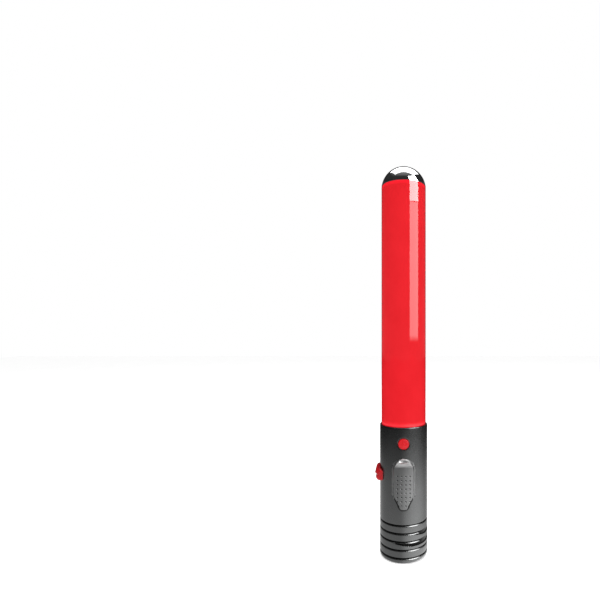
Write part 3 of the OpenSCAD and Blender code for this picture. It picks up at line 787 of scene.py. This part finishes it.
def node(tree, kind, **inputs):
    """A node, with constant values on the sockets that are named."""
    made = tree.nodes.new(kind)
    for key, value in inputs.items():
        made.inputs[key.replace("_", " ")].default_value = value
    return made


def object_place(tree):
    """Object coordinates, in metres."""
    return tree.nodes.new("ShaderNodeTexCoord").outputs["Object"]


def axes(tree):
    """The X, Y and Z of the object coordinates."""
    split = node(tree, "ShaderNodeSeparateXYZ")
    tree.links.new(object_place(tree), split.inputs[0])
    return split.outputs


def stretched(tree, scale):
    """Object coordinates, scaled by axis."""
    mapping = node(tree, "ShaderNodeMapping", Scale=scale)
    tree.links.new(object_place(tree), mapping.inputs["Vector"])
    return mapping.outputs["Vector"]


def noise(tree, scale, detail=4.0, place=None):
    """Noise from 0 to 1, over the object coordinates unless a place is given."""
    made = node(tree, "ShaderNodeTexNoise", Scale=scale, Detail=detail)
    tree.links.new(place or object_place(tree), made.inputs["Vector"])
    return made.outputs["Fac"]


def ramp(tree, value, *stops):
    """A colour ramp; each stop is (place, grey or colour)."""
    made = tree.nodes.new("ShaderNodeValToRGB")
    line = made.color_ramp
    while len(line.elements) < len(stops):
        line.elements.new(0.5)
    for element, (place, colour) in zip(line.elements, stops):
        element.position = place
        if isinstance(colour, float):
            colour = (colour, colour, colour)
        element.color = (*colour, 1)
    tree.links.new(value, made.inputs["Fac"])
    return made.outputs["Color"]


def maths(tree, operation, a, b=0):
    """A maths node on one or two values, each a number or a socket."""
    made = tree.nodes.new("ShaderNodeMath")
    made.operation = operation
    for socket, value in zip(made.inputs, (a, b)):
        if isinstance(value, (int, float)):
            socket.default_value = value
        else:
            tree.links.new(value, socket)
    return made.outputs[0]


def mixed(tree, share, a, b):
    """Colour a where share is 0 and b where it is 1."""
    made = tree.nodes.new("ShaderNodeMix")
    made.data_type = "RGBA"
    tree.links.new(share, made.inputs["Factor"])
    for key, colour in (("A", a), ("B", b)):
        socket = [s for s in made.inputs if s.name == key and s.type == "RGBA"][0]
        if isinstance(colour, tuple):
            socket.default_value = (*colour, 1)
        else:
            tree.links.new(colour, socket)
    return [s for s in made.outputs if s.type == "RGBA"][0]


def bump(tree, shader, height, strength, distance):
    """Tilts the shading by a height built from nodes."""
    made = node(tree, "ShaderNodeBump", Strength=strength, Distance=distance)
    tree.links.new(height, made.inputs["Height"])
    tree.links.new(made.outputs["Normal"], shader.inputs["Normal"])


def axis_distance(tree):
    """Distance from the object's main axis."""
    place = axes(tree)
    squares = [maths(tree, "MULTIPLY", place[k], place[k]) for k in ("X", "Y")]
    return maths(tree, "SQRT", maths(tree, "ADD", *squares))


def edge_wear(tree):
    """1 on convex edges and 0 elsewhere, broken up by noise."""
    point = node(tree, "ShaderNodeNewGeometry").outputs["Pointiness"]
    edges = ramp(tree, point, (0.51, 0.0), (0.56, 1.0))
    broken = ramp(tree, noise(tree, 900), (0.45, 0.0), (0.65, 1.0))
    return maths(tree, "MULTIPLY", edges, broken)


def gunmetal():
    """Satin metallic paint: fine flake, painted shade near black in the grooves and scoops, a little rub on
    the edges.
    """
    mat, tree, shader = material("gunmetal_paint", metallic=1.0)
    flake = noise(tree, 5200, 2)
    cloud = noise(tree, 60, 3)
    base = ramp(tree, cloud, (0.3, (0.110, 0.112, 0.112)), (0.7, (0.128, 0.130, 0.130)))
    flaked = mixed(tree, ramp(tree, flake, (0.5, 0.0), (0.75, 0.12)), base, (0.17, 0.172, 0.172))
    worn = mixed(tree, edge_wear(tree), flaked, (0.22, 0.22, 0.22))
    # Painted shade: near black wherever the skin lies deeper than the handle's radius, in the grooves and
    # scoops.
    recess_shade = ramp(tree, maths(tree, "DIVIDE", axis_distance(tree), handle_r), (0.968, 1.0), (0.984, 0.0))
    tree.links.new(mixed(tree, recess_shade, worn, (0.006, 0.006, 0.006)), shader.inputs["Base Color"])
    rough = ramp(tree, noise(tree, 240, 5), (0.3, 0.26), (0.7, 0.29))
    tree.links.new(rough, shader.inputs["Roughness"])
    bump(tree, shader, flake, 0.012, 0.00002)
    return mat


def lit_tube():
    """Glossy tinted tube with its lights on: nearly even, with brighter ends where the edge carries light."""
    mat, tree, shader = material("lit_red_tube", roughness=0.32, Coat_Weight=1.0, Coat_Roughness=0.02)
    shader.inputs["Specular IOR Level"].default_value = 0.0
    shader.inputs["Coat IOR"].default_value = 1.5
    length = tube_high.z - handle_h
    along = maths(tree, "DIVIDE", maths(tree, "SUBTRACT", axes(tree)["Z"], handle_h), length)
    ends = ramp(tree, along, (0.0, 1.0), (0.010, 0.6), (0.022, 0.0), (0.985, 0.0), (0.993, 0.8))
    cloud = ramp(tree, noise(tree, 45, 3), (0.3, (0.43, 0.009, 0.013)), (0.7, (0.48, 0.012, 0.017)))
    tree.links.new(cloud, shader.inputs["Base Color"])
    glow = mixed(tree, ends, (0.27, 0.004, 0.006), (0.62, 0.006, 0.018))
    tree.links.new(glow, shader.inputs["Emission Color"])
    shader.inputs["Emission Strength"].default_value = 1.0
    rough = ramp(tree, noise(tree, 300, 4), (0.35, 0.28), (0.7, 0.38))
    tree.links.new(rough, shader.inputs["Roughness"])
    bump(tree, shader, noise(tree, 70, 2), 0.02, 0.0001)
    return mat


def chrome():
    """Bright chrome, very slightly uneven."""
    mat, tree, shader = material("chrome", roughness=0.04, metallic=1.0)
    tint = ramp(tree, noise(tree, 120, 3), (0.3, (0.86, 0.87, 0.88)), (0.7, (0.92, 0.925, 0.93)))
    tree.links.new(tint, shader.inputs["Base Color"])
    rough = ramp(tree, noise(tree, 500, 5), (0.4, 0.03), (0.75, 0.075))
    tree.links.new(rough, shader.inputs["Roughness"])
    bump(tree, shader, noise(tree, 40, 2), 0.01, 0.0001)
    return mat


def moulded(name, dark, light, rough=(0.32, 0.42), grain=2200, **sockets):
    """Moulded plastic or rubber: cloudy colour, fine grain and paler rubbed edges."""
    mat, tree, shader = material(name, **sockets)
    base = ramp(tree, noise(tree, 150, 4), (0.3, dark), (0.7, light))
    rubbed = tuple(min(c * 1.35 + 0.015, 1.0) for c in light)
    worn = mixed(tree, edge_wear(tree), base, rubbed)
    tree.links.new(worn, shader.inputs["Base Color"])
    uneven = ramp(tree, noise(tree, 400, 4), (0.3, rough[0]), (0.7, rough[1]))
    tree.links.new(uneven, shader.inputs["Roughness"])
    bump(tree, shader, noise(tree, grain, 3), 0.03, 0.00003)
    return mat


def shade(mat, share, colour):
    """Blends a material's colour towards another one by a share built from nodes."""
    tree = mat.node_tree
    socket = tree.nodes["Principled BSDF"].inputs["Base Color"]
    before = socket.links[0].from_socket
    tree.links.new(mixed(tree, share, before, colour), socket)
    return mat


def switch_red():
    """The button's red; the side switch gets a darker red, painted shade for its face, which the light from
    above misses.
    """
    dark, light = (0.50, 0.004, 0.008), (0.56, 0.006, 0.011)
    mat = moulded("red_plastic", dark, light, (0.24, 0.32), Specular_IOR_Level=0.3)
    tree = mat.node_tree
    # Painted shade: the side switch, left of the handle, is blended to a darker red than the button.
    side = maths(tree, "LESS_THAN", axes(tree)["X"], -0.5 * handle_r)
    return shade(mat, side, (0.38, 0.004, 0.008))


def dimpled_grey():
    """Satin grey, with painted shade down in the dimples and a painted highlight on the upward-facing ledge.
    """
    dark, light = (0.195, 0.197, 0.197), (0.22, 0.222, 0.222)
    mat = moulded("slide_grey", dark, light, (0.32, 0.38), 2600, metallic=0.93)
    tree = mat.node_tree
    place = axes(tree)
    # Painted shade: near black in the dimples, below the ledge, where the face lies deeper than its radius.
    depth = ramp(tree, maths(tree, "DIVIDE", axis_distance(tree), FACE_R), (0.975, 1.0), (0.992, 0.0))
    across = maths(tree, "LESS_THAN", maths(tree, "ABSOLUTE", place["X"]), SLIDE_HALF - 2.1 * MM)
    below = maths(tree, "LESS_THAN", place["Z"], LEDGE_Z - 4 * MM)
    dimples = maths(tree, "MULTIPLY", maths(tree, "MULTIPLY", across, below), depth)
    shade(mat, dimples, (0.02, 0.02, 0.02))
    # Painted highlight: the ledge's sloping top, in front of the head, is made paler as if lit from above.
    above = maths(tree, "GREATER_THAN", place["Z"], LEDGE_Z)
    proud = maths(tree, "LESS_THAN", place["Y"], -BASE_R - 0.55 * MM)
    return shade(mat, maths(tree, "MULTIPLY", above, proud), (0.44, 0.44, 0.44))


def metal(name, dark, light, rough=(0.22, 0.4)):
    """Machined metal with faint tool lines round the main axis."""
    mat, tree, shader = material(name, metallic=1.0)
    drawn = noise(tree, 1.0, 3, stretched(tree, (300, 300, 6000)))
    tree.links.new(ramp(tree, noise(tree, 200, 4), (0.3, dark), (0.7, light)), shader.inputs["Base Color"])
    tree.links.new(ramp(tree, drawn, (0.3, rough[0]), (0.7, rough[1])), shader.inputs["Roughness"])
    bump(tree, shader, drawn, 0.15, 0.00002)
    return mat


def make_materials():
    """One material for each of the record's slots."""
    return {
        "handle": gunmetal(),
        "light_tube": lit_tube(),
        "dome_chrome": chrome(),
        "red_plastic": switch_red(),
        "red_rubber": moulded("red_rubber", (0.42, 0.008, 0.012), (0.50, 0.012, 0.016), (0.45, 0.6), 1500),
        "slide_grey": dimpled_grey(),
        "steel": metal("steel", (0.52, 0.52, 0.54), (0.62, 0.62, 0.64)),
        "brass": metal("brass", (0.62, 0.42, 0.16), (0.76, 0.54, 0.24), (0.2, 0.34)),
        "aluminium": metal("aluminium", (0.66, 0.67, 0.68), (0.76, 0.77, 0.78), (0.3, 0.45)),
        "seal": moulded("seal_rubber", (0.012, 0.012, 0.013), (0.02, 0.02, 0.021), (0.5, 0.65), 1500),
        "tank": moulded("tank_plastic", (0.62, 0.60, 0.52), (0.70, 0.68, 0.60), (0.3, 0.4)),
        "cell_wrap": moulded("cell_wrap", (0.03, 0.16, 0.42), (0.04, 0.2, 0.5), (0.2, 0.28)),
        "black_plastic": moulded("black_plastic", (0.014, 0.015, 0.016), (0.022, 0.023, 0.024), (0.4, 0.5)),
        "board": moulded("board_mask", (0.008, 0.12, 0.045), (0.012, 0.16, 0.06), (0.25, 0.35)),
        "strip_white": moulded("strip_white", (0.74, 0.75, 0.74), (0.82, 0.83, 0.82), (0.35, 0.45)),
        "led": moulded("led_gel", (0.85, 0.72, 0.35), (0.92, 0.8, 0.42), (0.15, 0.25)),
        "lead_red": moulded("lead_red", (0.5, 0.015, 0.02), (0.6, 0.02, 0.03), (0.35, 0.45)),
        "ceramic": moulded("ceramic", (0.8, 0.79, 0.76), (0.88, 0.87, 0.84), (0.12, 0.2)),
    }


def paint(obj, mat):
    """Gives an object one material."""
    obj.data.materials.clear()
    obj.data.materials.append(mat)


def paint_cad_nodes(mats):
    """Gives every CAD node the material of its slot."""
    slots = {s["node"]: s["material_slot"] for s in frame["record"]["subparts"]}
    for name, obj in frame["nodes"].items():
        paint(obj, mats[slots[name]])


def dress(obj, slot, mats):
    """Gives a piece its slot's material."""
    paint(obj, mats[slot])


# ---- Stage, light and camera ----

FLOOR_GLOW = 2.25
# The side of the floor that the softbox lights, as shares of X and Y.
LIT_SIDE = {"X": 0.81, "Y": -0.59}
# The softbox is bent round the object between these bearings, in degrees, at this distance.
SOFTBOX_FROM, SOFTBOX_TO = 31, 79
SOFTBOX_AWAY = 1.0


def emission(name, strength):
    """A plain white glow; the tree and the glow's node let its strength be built from nodes."""
    mat = bpy.data.materials.new(name)
    mat.use_nodes = True
    tree = mat.node_tree
    tree.nodes.clear()
    out = tree.nodes.new("ShaderNodeOutputMaterial")
    glow = node(tree, "ShaderNodeEmission", Color=(1, 1, 1, 1), Strength=strength)
    tree.links.new(glow.outputs[0], out.inputs["Surface"])
    return mat, tree, glow


def level_card(name, x, y, z):
    """A level sheet between two values of x and two of y."""
    bm = bmesh.new()
    add_grid(bm, [[Vector((px, py, z)) for px in x] for py in y])
    return loose(name, bm)


def only_reflected(obj, mat):
    """Puts a glowing object on the stage that only reflections see."""
    obj.data.materials.append(mat)
    for flag in ("visible_camera", "visible_diffuse", "visible_shadow", "visible_transmission"):
        setattr(obj, flag, False)


def softbox(name, low, high, strength, fade=None):
    """A part of the softbox between two heights; fade is its brightness from its lower edge up."""
    bearings = linspace(math.radians(SOFTBOX_FROM), math.radians(SOFTBOX_TO), 25)
    bm = bmesh.new()
    add_grid(bm, [[polar(SOFTBOX_AWAY, b, z) for b in bearings] for z in (low, high)])
    obj = loose(name, bm)
    mat, tree, glow = emission(name, strength)
    if fade:
        along = maths(tree, "DIVIDE", maths(tree, "SUBTRACT", axes(tree)["Z"], low), high - low)
        level = maths(tree, "MULTIPLY", ramp(tree, along, *fade), strength)
        tree.links.new(level, glow.inputs["Strength"])
    only_reflected(obj, mat)


def ceiling():
    """A level card over the object."""
    obj = level_card("ceiling_card", (-0.35, 0.43), (-0.14, 0.42), 0.9)
    only_reflected(obj, emission("ceiling_card", 2.4)[0])


def reflected_floor():
    """What gloss sees of the floor: a pale disc round the object, brightest on the softbox's side."""
    reach = (-3.0, 3.0)
    obj = level_card("reflected_floor", reach, reach, -0.0005)
    mat, tree, glow = emission("reflected_floor", 1.0)
    place = axes(tree)
    away = axis_distance(tree)
    disc = ramp(tree, away, (0.0, 1.0), (0.2, 0.80), (0.31, 0.30), (0.43, 0.05), (0.9, 0.03))
    parts = [maths(tree, "MULTIPLY", place[k], share) for k, share in LIT_SIDE.items()]
    side = maths(tree, "DIVIDE", maths(tree, "ADD", *parts), away)
    lit = ramp(tree, side, (0.45, 0.36), (1.0, 1.0))
    level = maths(tree, "MULTIPLY", maths(tree, "MULTIPLY", disc, lit), FLOOR_GLOW)
    tree.links.new(level, glow.inputs["Strength"])
    only_reflected(obj, mat)


def floor():
    """The plain pale floor that the picture shows; reflections see reflected_floor in its place."""
    reach = (-4.0, 4.0)
    obj = level_card("floor", reach, reach, 0)
    mat, tree, shader = material("pale_floor", roughness=0.9)
    pale = ramp(tree, noise(tree, 8, 3), (0.3, 0.90), (0.7, 0.93))
    tree.links.new(pale, shader.inputs["Base Color"])
    tree.links.new(pale, shader.inputs["Emission Color"])
    shader.inputs["Emission Strength"].default_value = 0.5
    obj.data.materials.append(mat)
    obj.visible_glossy = False


def area_light(name, place, target, size, power):
    """A square soft light that reflections don't see."""
    light = bpy.data.lights.new(name, "AREA")
    light.shape = "SQUARE"
    light.size = size
    light.energy = power
    obj = bpy.data.objects.new(name, light)
    bpy.context.scene.collection.objects.link(obj)
    obj.location = place
    obj.rotation_mode = "QUATERNION"
    obj.rotation_quaternion = (Vector(target) - Vector(place)).to_track_quat("-Z", "Y")
    obj.visible_camera = False
    obj.visible_glossy = False


def mixed_shaders(tree, share, a, b):
    """Shader a where share is 0 and b where it is 1."""
    made = tree.nodes.new("ShaderNodeMixShader")
    for socket, value in zip(made.inputs, (share, a, b)):
        tree.links.new(value, socket)
    return made.outputs[0]


def world():
    """White and even for the picture and for diffuse light; dark over the horizon for the object's gloss."""
    made = bpy.data.worlds.new("tent")
    bpy.context.scene.world = made
    made.use_nodes = True
    tree = made.node_tree
    tree.nodes.clear()
    out = tree.nodes.new("ShaderNodeOutputWorld")
    split = node(tree, "ShaderNodeSeparateXYZ")
    tree.links.new(tree.nodes.new("ShaderNodeTexCoord").outputs["Generated"], split.inputs[0])
    # Brightness from the horizon (0) to straight up (1).
    heights = [(0.0, 0.13), (0.30, 0.07), (0.55, 0.02), (0.78, 0.03), (0.88, 0.14), (1.0, 0.2)]
    seen = node(tree, "ShaderNodeBackground", Color=(1, 1, 1, 1), Strength=1.0)
    soft = node(tree, "ShaderNodeBackground", Color=(1, 1, 1, 1), Strength=0.6)
    glossed = node(tree, "ShaderNodeBackground", Strength=1.0)
    tree.links.new(ramp(tree, split.outputs["Z"], *heights), glossed.inputs["Color"])
    path = tree.nodes.new("ShaderNodeLightPath").outputs
    picture = mixed_shaders(tree, path["Is Camera Ray"], soft.outputs[0], seen.outputs[0])
    whole = mixed_shaders(tree, path["Is Glossy Ray"], picture, glossed.outputs[0])
    tree.links.new(whole, out.inputs["Surface"])


def lighting():
    """The tent, a softbox and a light at the right, a card and a light overhead, and the gloss's floor."""
    world()
    reflected_floor()
    softbox("key_card", 0.61, 1.5, 14.0)
    softbox("key_card_low", 0.165, 0.607, 5.6, ((0.0, 0.0), (0.05, 0.8), (1.0, 1.0)))
    ceiling()
    area_light("overhead", place=(0.0, -0.05, 1.2), target=(0, 0, 0.1), size=1.2, power=13)
    area_light("key", place=(0.9, -1.0, 0.8), target=(0, 0, 0.15), size=0.7, power=5.2)


def camera():
    """The photograph's view: level, from the front, with the object to the right of the middle."""
    data = bpy.data.cameras.new("camera")
    data.sensor_width = 36
    data.lens = 24.69
    data.shift_x = -0.1727
    data.shift_y = 0.0667
    data.clip_start = 0.01
    obj = bpy.data.objects.new("camera", data)
    bpy.context.scene.collection.objects.link(obj)
    obj.location = (0, -0.332, 0.171)
    obj.rotation_euler = (math.radians(90), 0, 0)
    bpy.context.scene.camera = obj


# ---- Build ----

def build():
    """The whole scene: the stage first, then the CAD nodes' materials, then the pieces."""
    camera()
    floor()
    lighting()
    bpy.context.scene.view_settings.view_transform = "Standard"
    mats = make_materials()
    paint_cad_nodes(mats)
    dress(front_shell(), "handle", mats)
    dress(rear_shell(), "handle", mats)
    dress(light_tube(), "light_tube", mats)
    dress(dome(), "dome_chrome", mats)
    dress(nozzle(), "brass", mats)
    dress(push_button(), "red_plastic", mats)
    dress(thumb_slide(), "slide_grey", mats)
    dress(side_switch(), "red_plastic", mats)
    dress(port_cover(), "red_rubber", mats)
    slide_coil = coil("slide_spring", 0.22 * MM, 6)
    dress(slide_coil, "steel", mats)
    valve_coil = coil("valve_spring", 0.25 * MM, 5)
    dress(valve_coil, "steel", mats)


build()
